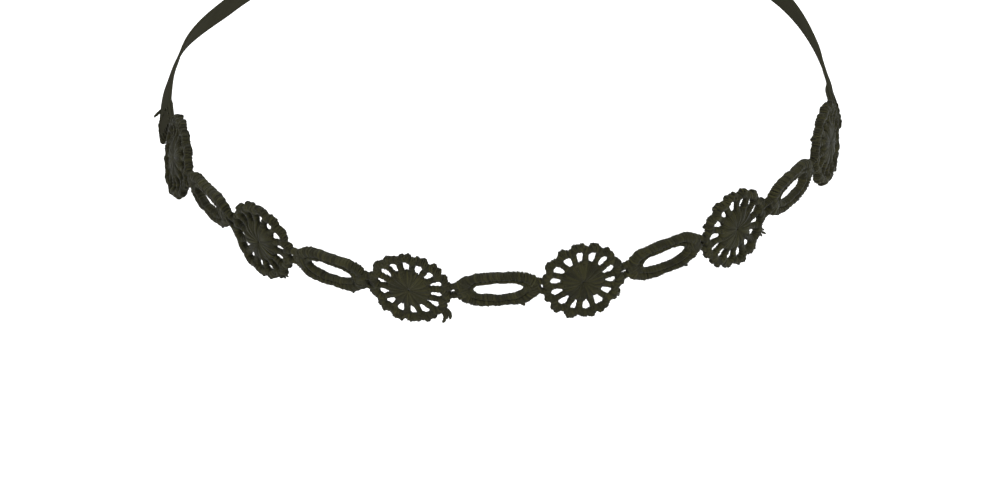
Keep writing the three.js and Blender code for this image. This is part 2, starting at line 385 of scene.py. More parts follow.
def satin_stitch(sizes):
    """One turn of thread round a cord that runs along X, flat across Y and thick through Z, with the
    padding under it. The cord's section is an oval with full corners."""
    steps, fullness, sunk = 12, 2 / 2.8, 0.3
    angle = TURN * (np.arange(steps) + 0.5) / steps
    radius = sizes.thread / 2
    half = np.array([sizes.cord_width / 2 - radius, sizes.cord_thickness / 2 - radius])
    way = np.stack([np.cos(angle), np.sin(angle)], 1)
    section = half * np.sign(way) * np.abs(way) ** fullness
    outwards = unit(np.sign(way) * np.abs(way) ** (2 - fullness) / half)
    zero = np.zeros((steps, 1))
    loop = tube(np.hstack([zero, section]), np.hstack([zero, outwards]), np.full(steps, radius),
                np.tile((1.0, 0.0, 0.0), (steps, 1)), True)
    inner = (section + outwards * radius * sunk)[::2]
    sides = len(inner)
    pad = [(end * 0.7 * sizes.pitch, y, z) for end in (-1, 1) for y, z in inner]
    faces = [(i, (i + 1) % sides, sides + (i + 1) % sides, sides + i) for i in range(sides)]
    faces += [range(sides)[::-1], range(sides, 2 * sides)]
    return thread_mesh("satin stitch", *loop, pad, faces)


def radial_stitch(sizes):
    """One stitch along X from the middle of the hub, over its dome and down its edge. Threads crowd
    together towards the middle, so it narrows there."""
    profile = np.array([
        (0.05, 0.74), (0.14, 0.86), (0.32, 0.97), (0.52, 1.0), (0.72, 0.93), (0.88, 0.74),
        (0.975, 0.42), (1.0, 0.0)])
    centres = np.stack([profile[:, 0] * sizes.hub_edge, np.zeros(len(profile)),
                        profile[:, 1] * (sizes.hub_front - sizes.thread / 2)], 1)
    radii = sizes.thread * np.interp(profile[:, 0], (0.05, 0.5, 0.9), (0.2, 0.46, 0.62))
    return upright_thread("radial stitch", centres, radii)


def loose_fibre(sizes):
    """One loose fibre that curls up from Z = 0."""
    share = np.linspace(0, 1, 4)
    centres = sizes.fibre * np.stack([0.45 * share ** 2, np.zeros(4), share * (1 - 0.3 * share)], 1)
    return upright_thread("loose fibre", centres, 0.022 * MM * (1 - 0.5 * share), sides=3)


def hub_pad(sizes):
    """The padding under the hub's stitches, turned about w and closed."""
    sides = 32
    radius, inner = sizes.hub_edge - 0.2 * MM, sizes.thread * 0.6
    profile = [(0.0, 0.80), (0.3, 0.95), (0.55, 0.97), (0.75, 0.85), (0.9, 0.62), (1.0, 0.0)]
    rings = [(share * radius, rise * (sizes.hub_front - inner)) for share, rise in profile]
    rings += [(share * radius, -rise * (sizes.hub_back - inner)) for share, rise in profile[-2::-1]]
    vertices = [(0.0, 0.0, rings[0][1])]
    for reach, rise in rings[1:-1]:
        vertices += [(*turned(reach, 0.0, TURN * i / sides), rise) for i in range(sides)]
    vertices.append((0.0, 0.0, rings[-1][1]))
    lowest = 1 + (len(rings) - 3) * sides
    faces = []
    for i in range(sides):
        j = (i + 1) % sides
        faces.append((0, 1 + i, 1 + j))
        for base in range(1, lowest, sides):
            faces.append((base + i, base + sides + i, base + sides + j, base + j))
        faces.append((lowest + i, len(vertices) - 1, lowest + j))
    mesh = mesh_from("hub pad", vertices, faces)
    mark_padding(mesh, [1] * len(vertices))
    return mesh


# ---------------------------------------------------------------- nodes


class Value:
    """A number in a node tree. Arithmetic with it adds the maths nodes that work it out."""

    def __init__(self, tree, socket):
        self.tree, self.socket = tree, socket

    def maths(self, operation, *others):
        return number(self.tree, "ShaderNodeMath", enumerate((self, *others)), operation=operation)

    def __add__(self, other):
        return self.maths("ADD", other)

    def __sub__(self, other):
        return self.maths("SUBTRACT", other)

    def __mul__(self, other):
        return self.maths("MULTIPLY", other)

    def __truediv__(self, other):
        return self.maths("DIVIDE", other)


def connect(tree, node, inputs):
    """Links or sets a node's inputs, by name or place."""
    for where, value in dict(inputs).items():
        value = getattr(value, "socket", value)
        if isinstance(value, bpy.types.NodeSocket):
            tree.links.new(value, node.inputs[where])
        else:
            node.inputs[where].default_value = value


def node(tree, kind, inputs=(), **settings):
    """A node's outputs, with its settings made and its inputs linked or set."""
    made = tree.nodes.new(kind)
    for name, value in settings.items():
        setattr(made, name, value)
    connect(tree, made, inputs)
    return made.outputs


def add(tree, kind, inputs=(), **settings):
    """The first output of a new node."""
    return node(tree, kind, inputs, **settings)[0]


def number(tree, kind, inputs=(), **settings):
    """The first output of a new node, to reckon with."""
    return Value(tree, add(tree, kind, inputs, **settings))


def new_tree(name, inputs):
    """A geometry nodes tree with named inputs, and its input and output nodes."""
    tree = bpy.data.node_groups.new(name, "GeometryNodeTree")
    for label, kind, default in inputs:
        socket = tree.interface.new_socket(name=label, in_out="INPUT", socket_type=kind)
        if default is not None:
            socket.default_value = default
    tree.interface.new_socket(name="Geometry", in_out="OUTPUT", socket_type="NodeSocketGeometry")
    given = {s.name: Value(tree, s) for s in node(tree, "NodeGroupInput")}
    return tree, given, tree.nodes.new("NodeGroupOutput")


def random_number(tree, low, high, seed):
    found = node(tree, "FunctionNodeRandomValue", {2: low, 3: high, 8: seed}, data_type="FLOAT")
    return Value(tree, found[1])


def girths(tree):
    return add(tree, "GeometryNodeInputNamedAttribute", {"Name": "girth"}, data_type="FLOAT_VECTOR")


def combined(tree, x, y, z):
    return add(tree, "ShaderNodeCombineXYZ", {0: x, 1: y, 2: z})


def rotation(tree, x, y, z):
    return add(tree, "FunctionNodeEulerToRotation", {0: combined(tree, x, y, z)})


def turned_further(tree, first, x, y, z):
    """A rotation with another made after it in its own axes."""
    return add(tree, "FunctionNodeRotateRotation", {0: first, 1: rotation(tree, x, y, z)},
               rotation_space="LOCAL")


def vector_maths(tree, operation, inputs):
    return add(tree, "ShaderNodeVectorMath", inputs, operation=operation)


def shape_of(tree, held):
    return node(tree, "GeometryNodeObjectInfo", {"Object": held}, transform_space="ORIGINAL")["Geometry"]


def repeated(tree, points, held, turn, scale):
    """An object's shape on each of the points."""
    return add(tree, "GeometryNodeInstanceOnPoints", {
        "Points": points, "Instance": shape_of(tree, held), "Rotation": turn, "Scale": scale})


def store(tree, geometry, name, value, domain="INSTANCE"):
    return add(tree, "GeometryNodeStoreNamedAttribute",
               {"Geometry": geometry, "Name": name, "Value": value}, data_type="FLOAT", domain=domain)


def label_stitches(tree, stitches, seed, first):
    """Gives each stitch its own shade, and a number that tells it from the others."""
    shaded = store(tree, stitches, "shade", random_number(tree, 0.0, 1.0, seed + 37))
    return store(tree, shaded, "stitch", number(tree, "GeometryNodeInputIndex") + float(first))


def stitches_along(tree, curve, given, seed):
    """Stitches at an even pitch along the curves, each turned to its cord, with small differences."""
    points = add(tree, "GeometryNodeResampleCurve", {"Curve": curve, "Length": given["Pitch"]}, mode="LENGTH")
    along = add(tree, "FunctionNodeAxesToRotation", {
        "Primary Axis": add(tree, "GeometryNodeInputTangent"), "Secondary Axis": (0.0, 0.0, 1.0)},
        primary_axis="X", secondary_axis="Z")
    swing = random_number(tree, -0.13, 0.13, seed) * given["Unevenness"]
    tilt = random_number(tree, -0.10, 0.10, seed + 11) * given["Unevenness"]
    turn = turned_further(tree, along, 0.0, tilt, given["Slant"] + swing)
    grow = random_number(tree, -0.09, 0.09, seed + 23) * given["Unevenness"] + 1.0
    scale = vector_maths(tree, "SCALE", {0: girths(tree), 3: grow})
    return label_stitches(tree, repeated(tree, points, given["Satin stitch"], turn, scale), seed, 1)


def loose_fibres(tree, surface, given, seed):
    """Loose fibres here and there on the threads."""
    found = node(tree, "GeometryNodeDistributePointsOnFaces",
                 {"Mesh": surface, "Density": given["Fuzz"], "Seed": seed}, distribute_method="RANDOM")
    turn = turned_further(
        tree, found["Rotation"], random_number(tree, -0.9, 0.9, seed + 51),
        random_number(tree, -0.9, 0.9, seed + 53), random_number(tree, 0.0, TURN, seed + 57))
    placed = repeated(tree, found["Points"], given["Fibre"], turn, random_number(tree, 0.4, 1.5, seed + 59))
    return store(tree, placed, "shade", random_number(tree, 0.2, 1.0, seed))


def twisted_threads(tree, curve, ply_radius, seed):
    """Three plies twisted along each curve."""
    plies, turns_in_a_metre = 3, 620.0
    level = add(tree, "GeometryNodeSetCurveNormal", {"Curve": curve}, mode="Z_UP")
    fine = add(tree, "GeometryNodeResampleCurve", {"Curve": level, "Length": 0.16 * MM}, mode="LENGTH")
    copies = node(tree, "GeometryNodeDuplicateElements", {"Geometry": fine, "Amount": plies}, domain="SPLINE")
    ply = Value(tree, copies[1]) / float(plies)
    along = Value(tree, node(tree, "GeometryNodeSplineParameter")["Length"])
    angle = (along * turns_in_a_metre + ply) * TURN
    normal, tangent = add(tree, "GeometryNodeInputNormal"), add(tree, "GeometryNodeInputTangent")
    side = vector_maths(tree, "CROSS_PRODUCT", {0: tangent, 1: normal})
    girth = Value(tree, node(tree, "ShaderNodeSeparateXYZ", {0: girths(tree)})[1])
    reach = girth * ply_radius
    parts = [vector_maths(tree, "SCALE", {0: way, 3: angle.maths(wave) * reach})
             for way, wave in ((normal, "COSINE"), (side, "SINE"))]
    wound = add(tree, "GeometryNodeSetPosition", {
        "Geometry": copies[0], "Offset": vector_maths(tree, "ADD", enumerate(parts))})
    ring = add(tree, "GeometryNodeCurvePrimitiveCircle", {"Resolution": 6, "Radius": ply_radius})
    plied = add(tree, "GeometryNodeCurveToMesh", {
        "Curve": wound, "Profile Curve": ring, "Scale": girth, "Fill Caps": True})
    return store(tree, plied, "shade", random_number(tree, 0.3, 0.7, seed), "POINT")


def radial_stitches(tree, given, seed):
    """Stitches round a hub, on its front and, turned over, on its back. They rise over each spoke."""
    first_number, flute_depth, flute_reach = 5001, 0.07, 0.02
    both = given["Hub stitches"] * 2.0
    index = number(tree, "GeometryNodeInputIndex")
    under = index.maths("MODULO", 2.0)
    swing = random_number(tree, -0.03, 0.03, seed) * given["Unevenness"]
    around = index * TURN / both + swing
    tilt = random_number(tree, -0.02, 0.02, seed + 3) * given["Unevenness"]
    grow = random_number(tree, -0.035, 0.035, seed + 5) * given["Unevenness"] + 1.0
    flute = ((around - math.pi / SCALLOPS) * float(SCALLOPS)).maths("COSINE")
    rise = (flute * flute_depth + 1.0) * (under * (given["Hub back share"] - 1.0) + 1.0)
    placed = repeated(
        tree, add(tree, "GeometryNodePoints", {"Count": both}), given["Radial stitch"],
        rotation(tree, under * math.pi, tilt, around),
        combined(tree, flute * flute_reach + grow, 1.0, rise))
    return label_stitches(tree, placed, seed, first_number)


def realized(tree, parts):
    """The parts joined, with their instances realized."""
    joined = tree.nodes.new("GeometryNodeJoinGeometry")
    for part in reversed(parts):
        tree.links.new(part, joined.inputs[0])
    return add(tree, "GeometryNodeRealizeInstances", {0: joined.outputs[0]})


def embroidery_tree(name):
    """Everything of one lace motif: satin cords and twisted threads along its paths, its hub and its
    loose fibres."""
    tree, given, out = new_tree(name, [
        ("Geometry", "NodeSocketGeometry", None),
        ("Satin stitch", "NodeSocketObject", None),
        ("Radial stitch", "NodeSocketObject", None),
        ("Hub pad", "NodeSocketObject", None),
        ("Fibre", "NodeSocketObject", None),
        ("Pitch", "NodeSocketFloat", 0.29 * MM),
        ("Slant", "NodeSocketFloat", 0.34),
        ("Ply radius", "NodeSocketFloat", 0.14 * MM),
        ("Hub stitches", "NodeSocketInt", 0),
        ("Hub back share", "NodeSocketFloat", 0.65),
        ("Fuzz", "NodeSocketFloat", 40.0e4),
        ("Unevenness", "NodeSocketFloat", 1.0),
        ("Seed", "NodeSocketInt", 1),
        ("Material", "NodeSocketMaterial", None),
    ])
    seed = given["Seed"]
    is_twisted = number(tree, "GeometryNodeInputNamedAttribute", {"Name": "twisted"}, data_type="FLOAT")
    parted = node(tree, "GeometryNodeSeparateGeometry", {
        "Geometry": given["Geometry"], "Selection": is_twisted.maths("GREATER_THAN", 0.5)}, domain="POINT")
    threads, cords = [add(tree, "GeometryNodeMeshToCurve", {"Mesh": side}) for side in parted[:2]]
    sewn = realized(tree, [
        stitches_along(tree, cords, given, seed),
        twisted_threads(tree, threads, given["Ply radius"], seed),
        radial_stitches(tree, given, seed),
        shape_of(tree, given["Hub pad"]),
    ])
    whole = realized(tree, [sewn, loose_fibres(tree, sewn, given, seed)])
    smooth = add(tree, "GeometryNodeSetShadeSmooth", {0: whole})
    connect(tree, out, {0: add(
        tree, "GeometryNodeSetMaterial", {"Geometry": smooth, "Material": given["Material"]})})
    return tree


def grown(name, path, tree, values):
    """The mesh that a tree grows on a path, with its instances realized."""
    holder = link_object(name + " path", path)
    modifier = holder.modifiers.new(tree.name, "NODES")
    modifier.node_group = tree
    sockets = {s.name: s.identifier for s in tree.interface.items_tree if s.in_out == "INPUT"}
    for label, value in values.items():
        modifier[sockets[label]] = value
    bpy.context.view_layer.update()
    depsgraph = bpy.context.evaluated_depsgraph_get()
    mesh = bpy.data.meshes.new_from_object(
        holder.evaluated_get(depsgraph), preserve_all_data_layers=True, depsgraph=depsgraph)
    mesh.name = name
    holder.modifiers.clear()
    bpy.data.objects.remove(holder)
    bpy.data.meshes.remove(path)
    return mesh


# ---------------------------------------------------------------- materials


def noise(tree, scale, detail=2.0, vector=None, **more):
    """Noise over the piece, or over another vector."""
    place_of = vector or node(tree, "ShaderNodeTexCoord")["Object"]
    return number(tree, "ShaderNodeTexNoise", {"Vector": place_of, "Scale": scale, "Detail": detail, **more})


def wave(value, length_of_wave):
    return (value * (TURN / length_of_wave)).maths("SINE")


def map_ways(tree, name):
    """The two coordinates of a map."""
    ways = node(tree, "ShaderNodeSeparateXYZ", {0: add(tree, "ShaderNodeUVMap", uv_map=name)})
    return [Value(tree, way) for way in ways[:2]]


def attribute(tree, name):
    return Value(tree, node(tree, "ShaderNodeAttribute", attribute_name=name)["Fac"])


def mixed(tree, share, dark, light):
    return node(tree, "ShaderNodeMix", {0: share, 6: (*dark, 1.0), 7: (*light, 1.0)}, data_type="RGBA")[2]


def scaled(paint, share):
    return [channel * share for channel in paint]


def new_material(name):
    """A new material and its tree."""
    material = bpy.data.materials.new(name)
    material.use_nodes = True
    return material, material.node_tree


def cover(tree, base, roughness, relief, strength, depth, settings):
    """Gives a material its colour, its roughness, its relief and what else its shader takes."""
    bump = add(tree, "ShaderNodeBump", {"Strength": strength, "Distance": depth, "Height": relief})
    connect(tree, tree.nodes["Principled BSDF"], {
        "Base Color": base, "Roughness": roughness, "Normal": bump, **settings})


def thread_material(name, colours):
    """Dull black thread: each stitch has its own shade, with plies that twist along it and fine fuzz. The
    padding under the stitches is painted in the dark colour as shade in the hollows, and the grooves between
    plies are painted a little darker than their crests as shade.
    """
    material, tree = new_material(name)
    shade, padded = attribute(tree, "shade"), attribute(tree, "padded")
    soft = noise(tree, 420.0)
    along, about = map_ways(tree, THREAD_MAP)
    strand = combined(tree, along * 26.0, about * 13.0 + along * 34.0, shade * 90.0)
    fuzz = noise(tree, 1.0, vector=strand, Roughness=0.6)
    # The ply wave is relief. In the colour it is also painted shade: grooves between plies darker, crests
    # lighter.
    ply = wave(along * 14.0 + about * 2.0, 1.0) * 0.5 + 0.5
    tone = shade * shade * 0.62 + (soft * 0.8 + (fuzz * 0.35 - 0.36))
    # Painted shade: padding is pushed to the dark colour, standing for the hollows under the stitches.
    cover(tree, mixed(tree, ply * 0.16 + (tone - padded), colours.thread_dark_and_hollow_shade, colours.thread_light),
          fuzz * 0.25 + 0.62, ply * 0.6 + fuzz * 0.8, 0.5, 0.025 * MM,
          {"Specular IOR Level": 0.12, "Sheen Weight": 0.045, "Sheen Roughness": 0.4,
           "Sheen Tint": (0.86, 0.92, 1.0, 1.0)})
    return material


def ribbon_material(name, colours, sizes):
    """Smooth woven ribbon: fine warp threads along it, ribs across it and a low sheen. The weave's grooves
    are painted darker than its crests, as shade.
    """
    material, tree = new_material(name)
    along, about = map_ways(tree, CLOTH_MAP)
    warp, rib = wave(about, 0.16 * MM), wave(along, sizes.rib_pitch)
    weave = warp * rib * 0.25 + (warp * 0.2 + 0.5)
    soft = noise(tree, 260.0, 3.0)
    # Painted shade: the weave's relief also darkens the colour in its grooves and lightens it on its crests.
    tone = weave * 0.35 + (soft * 0.6 + (noise(tree, 6000.0) * 0.3 - 0.2))
    cover(tree, mixed(tree, tone, scaled(colours.ribbon, 0.68), scaled(colours.ribbon, 1.35)),
          soft * 0.18 + 0.46, weave, 0.5, 0.02 * MM,
          {"Specular IOR Level": 0.0, "Sheen Weight": 0.012, "Sheen Roughness": 0.4})
    return material


def clasp_material(name, colours):
    """Black lacquer with faint orange peel, rubbed duller and paler on its faces."""
    material, tree = new_material(name)
    cover(tree, mixed(tree, noise(tree, 300.0, 4.0), colours.clasp, scaled(colours.clasp, 1.9)),
          noise(tree, 900.0, 5.0, Distortion=1.5) * 0.28 + 0.2, noise(tree, 2600.0, 1.0), 0.3, 0.02 * MM,
          {"Specular IOR Level": 0.16, "Coat Weight": 0.05, "Coat Roughness": 0.25})
    return material


def paper_material(name):
    """Pale matt paper."""
    material, tree = new_material(name)
    connect(tree, tree.nodes["Principled BSDF"], {
        "Base Color": mixed(tree, noise(tree, 30.0), (0.9, 0.9, 0.9), (0.93, 0.93, 0.93)),
        "Roughness": 0.9})
    return material


# ---------------------------------------------------------------- pieces


def once(kept, name, build, *details):
    """What is kept under a name, built the first time that it is asked for."""
    return kept.get(name) or build(name, *details)


def lay_out_bake_map(mesh):
    """Gives each stitch a cell of its own in the map named OFBake, and lays what is under the stitches flat
    in a strip beside them."""
    strip, strip_share, columns, margin = 0.12, 0.9, 8, 0.06
    if THREAD_MAP not in mesh.uv_layers:
        write_map(mesh, THREAD_MAP, np.zeros((len(mesh.loops), 2)))
    padded, stitch = [
        read(mesh.attributes[name].data, "value").ravel() if name in mesh.attributes
        else np.zeros(len(mesh.vertices)) for name in ("padded", "stitch")]
    of_corner = read(mesh.loops, "vertex_index", kind=np.int32).ravel()
    label = np.rint(np.where(padded > 0.5, 0, stitch)[of_corner]).astype(int)
    flat = read(mesh.vertices, "co", 3)[of_corner][:, :2]
    flat = (flat - flat.min(0)) / np.maximum(np.ptp(flat, axis=0), 1e-9)
    stitched = label > 0
    cells = np.unique(label[stitched])
    cell = np.searchsorted(cells, label)
    rows = max(1, math.ceil(len(cells) / columns))
    inside = margin + (1 - 2 * margin) * read(mesh.uv_layers[THREAD_MAP].uv, "vector", 2)
    places = np.stack([
        strip + (1 - strip) * (cell % columns + inside[:, 0]) / columns,
        (cell // columns + inside[:, 1]) / rows], 1)
    write_map(mesh, BAKE_MAP, np.where(stitched[:, None], places, flat * (strip * strip_share, 1)))
    mesh.uv_layers[THREAD_MAP].active = True


def finish_piece(name, mesh, slot, *nodes):
    """Makes the mesh a piece of the necklace."""
    piece = link_object(name, mesh)
    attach(piece, "root")
    if nodes:
        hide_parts(*nodes)


# One run of thread or cord: points, how far it is scaled across and through at each of them, whether it
# is a twisted thread, and whether it closes on itself.
Run = namedtuple("Run", "points girth twisted closed", defaults=(0.0, False))


def cord(points, width, thickness, sizes, closed=False):
    """A satin-stitched run with these widths and thicknesses."""
    count = len(points)
    return Run(points, np.stack([np.broadcast_to(width, count) / sizes.cord_width,
                                 np.broadcast_to(thickness, count) / sizes.cord_thickness], 1), 0.0, closed)


def twisted(points, girth):
    """A run of twisted thread."""
    girth = np.broadcast_to(girth, len(points))
    return Run(points, np.stack([girth, girth], 1), 1.0)


def path_mesh(name, runs):
    """The runs as loose edges, with what the stitches read from them as attributes."""
    points, edges, girth, is_twisted = [], [], [], []
    for run in runs:
        first, count = len(points), len(run.points)
        points.extend(run.points)
        girth.append(np.hstack([np.ones((count, 1)), run.girth]))
        is_twisted += [run.twisted] * count
        edges += [(first + i, first + (i + 1) % count) for i in range(count if run.closed else count - 1)]
    mesh = mesh_from(name, points, (), edges)
    write(mesh.attributes.new("girth", "FLOAT_VECTOR", "POINT").data, "vector", np.concatenate(girth))
    write(mesh.attributes.new("twisted", "FLOAT", "POINT").data, "value", is_twisted)
    return mesh


def embroidered(name, runs, context, seed, hub=False):
    """The embroidery that grows on the runs, with its map of a cell to each stitch."""
    sizes = context.scene.choker_lace

    def pattern(label, build):
        """One stitch to repeat, kept out of the scene."""
        return once(bpy.data.objects, label, lambda of: bpy.data.objects.new(of, build(sizes)))

    tree = once(bpy.data.node_groups, "Embroidery", embroidery_tree)
    mesh = grown(name, path_mesh(name, runs), tree, {
        "Satin stitch": pattern("satin stitch", satin_stitch),
        "Radial stitch": pattern("radial stitch", radial_stitch) if hub else None,
        "Hub pad": pattern("hub pad", hub_pad) if hub else None,
        "Fibre": pattern("loose fibre", loose_fibre),
        "Pitch": sizes.pitch,
        "Slant": sizes.slant,
        "Ply radius": sizes.ply,
        "Hub stitches": sizes.hub_stitches if hub else 0,
        "Hub back share": sizes.hub_back / sizes.hub_front,
        "Fuzz": sizes.fuzz * 1e4,
        "Unevenness": sizes.unevenness,
        "Seed": seed,
        "Material": once(bpy.data.materials, "Lace thread", thread_material, context.scene.choker_finishes),
    })
    lay_out_bake_map(mesh)
    return mesh


def wander(points, rng, amount):
    """Moves points a little this way and that, by waves a few millimetres long."""
    moved = np.array(points, float)
    for axis in range(3):
        for other in range(2):
            waves = rng.uniform(1.4, 2.6, 2) / MM
            moved[:, axis] += amount / 2 * np.sin(points[:, other] * waves[0] + rng.uniform(0, 6)) * np.cos(
                points[:, 1 - other] * waves[1] * 0.6 + rng.uniform(0, 6))
    return moved


def lace_piece(name, motif, runs, context, seed, hub):
    """Grows a motif's embroidery on its runs, then places it and bends it round the neck."""
    mesh = embroidered(name, runs, context, seed, hub)
    points = wander(read(mesh.vertices, "co", 3), np.random.default_rng(seed), 0.09 * MM)
    write(mesh.vertices, "co", bend(place(points, motif)))
    mesh.update()
    finish_piece(name + "_lace", mesh, THREAD_SLOT, name)


def arc(centre_u, centre_v, radius, start, end, count):
    angle = np.linspace(start, end, count)
    return np.stack([centre_u + radius * np.cos(angle), centre_v + radius * np.sin(angle),
                     np.zeros(count)], 1)


def heading(angle):
    return np.array([math.cos(angle), math.sin(angle)])


def uneven(rng, count, amount):
    """Numbers near 1 that drift along a run."""
    at = np.arange(0, count + 2, 2)
    return 1 + np.interp(np.arange(count), at, rng.uniform(-amount, amount, len(at)))


def rosette_runs(sizes, rng):
    """A rosette's cords: 14 spokes, a scallop from each spoke to the next, and picots round it."""
    half_pitch = math.pi / SCALLOPS
    outer = SCALLOP_RADIUS + 0.26 * MM
    centre, bow = ROSETTE_RADIUS - SCALLOP_RADIUS, outer - sizes.rim_width / 2
    sweep = math.pi / 2 + half_pitch - math.acos(centre * math.sin(half_pitch) / bow)
    picot_rise = np.array([-1.2, 0.3, 1, 0.3, -1.2])
    picot_width = np.array([0.6, 0.74, 0.8, 0.74, 0.6]) * MM
    runs = []
    for i in range(SCALLOPS):
        angle = 2 * half_pitch * i
        foot = (centre + rng.uniform(-0.08, 0.1) * MM) * heading(angle)
        scallop = arc(*foot, bow, angle - sweep, angle + sweep, 13)
        scallop[:, 2] = rng.uniform(-0.05, 0.05) * MM
        runs.append(cord(scallop, sizes.rim_width * uneven(rng, 13, 0.09), sizes.rim_thickness, sizes))
        way = heading(angle + half_pitch + rng.uniform(-0.025, 0.025))
        spoke = np.hstack([SPOKE[:, :1] * way, SPOKE[:, 3:]])
        runs.append(cord(spoke, SPOKE[:, 1] * uneven(rng, len(SPOKE), 0.07), SPOKE[:, 2], sizes))
        for turn in (-0.26, 0.26):
            at = angle + turn + rng.uniform(-0.16, 0.16)
            reach = outer - 0.42 * MM + sizes.picot * rng.uniform(0.6, 1.5) * picot_rise
            picot = arc(0, 0, 1.0, at - 0.3, at + 0.3, 5)
            picot[:, :2] = foot + picot[:, :2] * reach[:, None]
            picot[:, 2] = rng.uniform(-0.3, 0.3) * MM
            runs.append(cord(picot, picot_width, 1.05 * MM, sizes))
    return runs


def tail_runs(tail, rng):
    """A thick knot of thread that sticks out of the rim, with loose ends."""
    rooted = 0.3 * MM
    steps = np.linspace(0, 1, 8)
    angle = math.radians(tail.angle)
    runs = []
    for spread in (-0.5, 0.0, 0.5):
        long = tail.length * MM * rng.uniform(0.8, 1.0)
        ahead = angle + spread * 0.35 + math.radians(tail.curl) * steps
        start = (ROSETTE_RADIUS - rooted) * heading(angle)
        start = start + spread * 0.55 * tail.width * MM * heading(angle + math.pi / 2)
        track = np.cumsum(np.stack([np.cos(ahead), np.sin(ahead)], 1) * (long + rooted) / 7, axis=0)
        points = np.concatenate([start + track, rng.uniform(-0.2, 0.3) * MM * steps[:, None]], 1)
        runs.append(twisted(points, tail.width * np.interp(steps, (0, 0.75, 1), (1.05, 1.15, 0.8))))
    return runs


def link_outline():
    """The outline of a link as a closed anticlockwise loop."""
    t = np.linspace(0, 1, 9)[:, None]
    start = np.array([RAIL_HALF_LENGTH, LINK_HALF_HEIGHT])
    bow = np.array([LINK_HALF_LENGTH - TIP_SHOULDER, LINK_HALF_HEIGHT])
    end = np.array([LINK_HALF_LENGTH, TIP_HALF_HEIGHT])
    quarter = ((1 - t) ** 2 * start + 2 * t * (1 - t) * bow + t ** 2 * end)[::-1]
    half = np.concatenate([quarter, (quarter * (-1, 1))[::-1]])
    return np.concatenate([half, -half])


def dense(loop, count=400):
    """A closed loop as many even steps."""
    closed = np.concatenate([loop, loop[:1]])
    along = distance_along(closed)
    at = np.linspace(0, along[-1], count, endpoint=False)
    return np.stack([np.interp(at, along, closed[:, i]) for i in (0, 1)], 1)


def slot_offset(out):
    """The slot's oval made larger all round, then shorter by its rounded ends, as a closed anticlockwise
    loop."""
    angle = TURN * np.arange(80) / 80
    way = np.stack([np.cos(angle), np.sin(angle)], 1)
    half = np.array([SLOT_HALF_LENGTH + out, SLOT_HALF_HEIGHT + out])
    return dense(half * np.sign(way) * np.abs(way) ** (2 / SLOT_SQUARENESS) * (TIP_CLOSING, 1))


def reach_at(loop, angles):
    """How far a closed loop is from its middle at these angles."""
    angle = np.arctan2(loop[:, 1], loop[:, 0])
    order = np.argsort(angle)
    return np.interp(angles, angle[order], np.hypot(*loop.T)[order], period=TURN)


def flat_points(points):
    return np.hstack([points, np.zeros((len(points), 1))])


def link_runs(sizes, rng):
    """A link's cords: one round its slot, one outside it, and one that wraps the two together at each
    tip. A short thread end sticks out below."""
    fringe, overlap = 0.24 * MM, 0.2 * MM
    angles = np.linspace(0, TURN, 120, endpoint=False)
    near = reach_at(slot_offset(sizes.rail_width - overlap), angles)
    far = reach_at(dense(link_outline()), angles) + fringe
    middle = (near + far) / 2
    slope = (np.roll(middle, -1) - np.roll(middle, 1)) / (angles[2] - angles[0])
    across = (far - near) * middle / np.hypot(middle, slope)  # the gap as the stitches cross it
    outer = np.stack([middle * np.cos(angles), middle * np.sin(angles)], 1)
    drift = 1 + 0.05 * np.sin(3 * angles + rng.uniform(0, 6)) + 0.04 * np.sin(11 * angles + rng.uniform(0, 6))
    runs = [cord(flat_points(outer), across * drift, sizes.cord_thickness, sizes, True),
            cord(flat_points(slot_offset(sizes.rail_width / 2)[::6]),
                 sizes.rail_width * rng.uniform(0.97, 1.05), 0.82 * sizes.cord_thickness, sizes, True)]
    for side in (-1, 1):
        u = np.linspace(SLOT_HALF_LENGTH * TIP_CLOSING + 0.5 * MM, LINK_HALF_LENGTH - 0.1 * MM, 5)
        tall = np.interp(u, *link_outline()[:9][::-1].T)
        wrap = flat_points(np.stack([side * u, np.zeros(5)], 1))
        runs.append(cord(wrap, 2 * tall * np.array([0.55, 0.75, 0.9, 0.98, 0.98]),
                         sizes.cord_thickness * np.array([0.7, 0.95, 1.0, 1.0, 0.95]), sizes))
    nib = np.array([(3.4, -2.6, 0.2), (3.7, -2.85, 0.25), (3.95, -3.12, 0.3)]) * MM
    nib_width = np.array([0.9, 0.8, 0.5]) * MM
    runs.append(cord(nib + rng.uniform(-0.15, 0.15, 3) * MM, nib_width, nib_width, sizes))
    return runs


def joining_runs(link, sizes):
    """The bars that join a link to the rosettes beside it, two at each tip, in the link's own face."""
    steps = np.linspace(0, 1, 10)
    width = sizes.bar_width * (1 + 0.12 * np.cos(TURN * steps))
    runs = []
    for side in (-1, 1):
        rosette = next(r for r in ROSETTES if r.step == link.step + side)
        for height in (-JOINING_THREAD_HEIGHT, JOINING_THREAD_HEIGHT):
            rim = math.sqrt(ROSETTE_RADIUS ** 2 - height ** 2)
            at_link, at_rosette = [
                place([(way * side * reach, height, 0.0) for reach in reaches], motif)
                for way, reaches, motif in (
                    (1, (LINK_HALF_LENGTH - 0.8 * MM, LINK_HALF_LENGTH), link),
                    (-1, (rim, rim - 0.6 * MM), rosette._replace(turn=0)))]
            points = unplace(np.concatenate([at_link, at_rosette]), link)
            fine = np.stack([np.interp(3 * steps, np.arange(4), column) for column in points.T], 1)
            runs.append(cord(fine, width, 1.35 * MM, sizes))
    return runs


class CHOKER_OT_rosettes(bpy.types.Operator):
    """Make the six embroidered rosettes"""

    bl_idname = "choker.rosettes"
    bl_label = "Rosettes"

    def execute(self, context):
        for i, motif in enumerate(ROSETTES, start=1):
            rng = np.random.default_rng(100 + i)
            runs = rosette_runs(context.scene.choker_lace, rng)
            for tail in TAILS:
                if tail.rosette == i:
                    runs += tail_runs(tail, rng)
            lace_piece(f"rosette_{i}", motif, runs, context, 10 * i, True)
        return {"FINISHED"}


